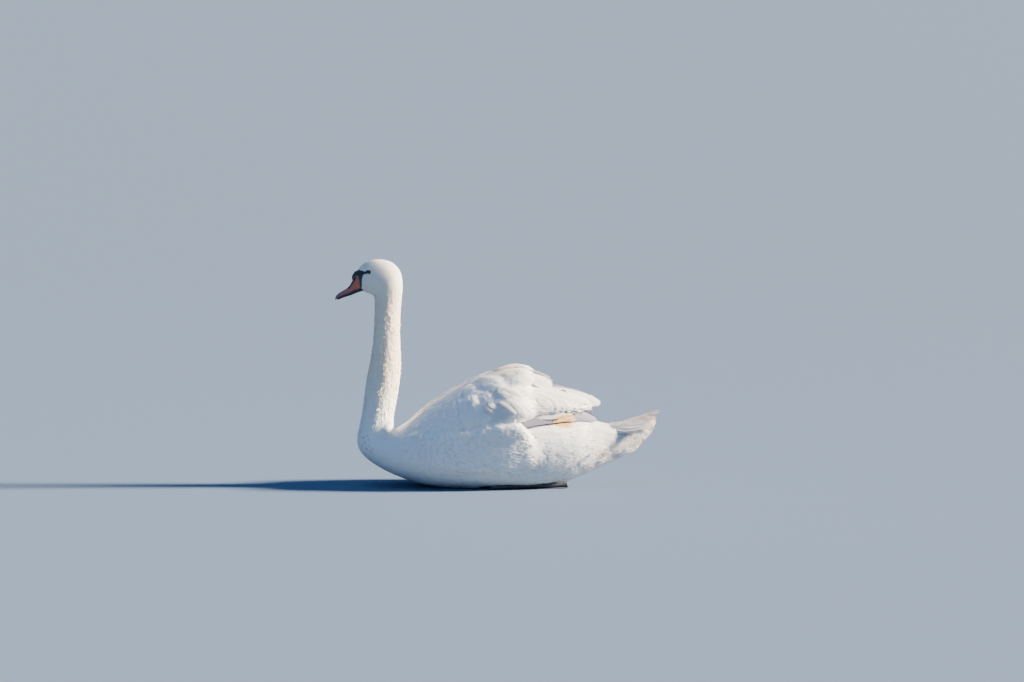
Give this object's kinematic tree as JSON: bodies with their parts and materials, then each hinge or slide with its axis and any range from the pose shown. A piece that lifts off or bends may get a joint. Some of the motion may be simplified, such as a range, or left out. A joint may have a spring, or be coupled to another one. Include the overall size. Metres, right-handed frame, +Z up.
{
  "type": "mute swan",
  "caption": "Life-size mute swan afloat, neck upright, wings half raised over the back, tail cocked, resting on its belly with the feet tucked under.",
  "frame": {"origin": "middle of the bounding box in plan, on the floor under the belly", "axes": "-X towards the bill, +X towards the tail, +Y to the bird's right side, +Z up"},
  "size_m": [0.8861, 0.2874, 0.6229],
  "materials": {
    "plumage": "soft white feather",
    "bill": "satin orange-red bill skin",
    "bill_black": "satin black bill skin",
    "eye": "wet dark brown",
    "leg": "scaled dark grey skin"
  },
  "bodies": {
    "root": {"trunk": "plumage", "neck_lower": "plumage", "neck_middle": "plumage", "neck_upper": "plumage", "head": "plumage", "wing_right": "plumage", "wing_left": "plumage", "tertials_right": "plumage", "tertials_left": "plumage", "primaries_right": "plumage", "primaries_left": "plumage", "tail": "plumage", "eye_right": "eye", "eye_left": "eye", "bill_upper": "bill", "bill_lower": "bill_black", "bill_knob": "bill_black", "leg_right": "leg", "leg_left": "leg", "foot_right": "leg", "foot_left": "leg"}
  },
  "joints": []
}
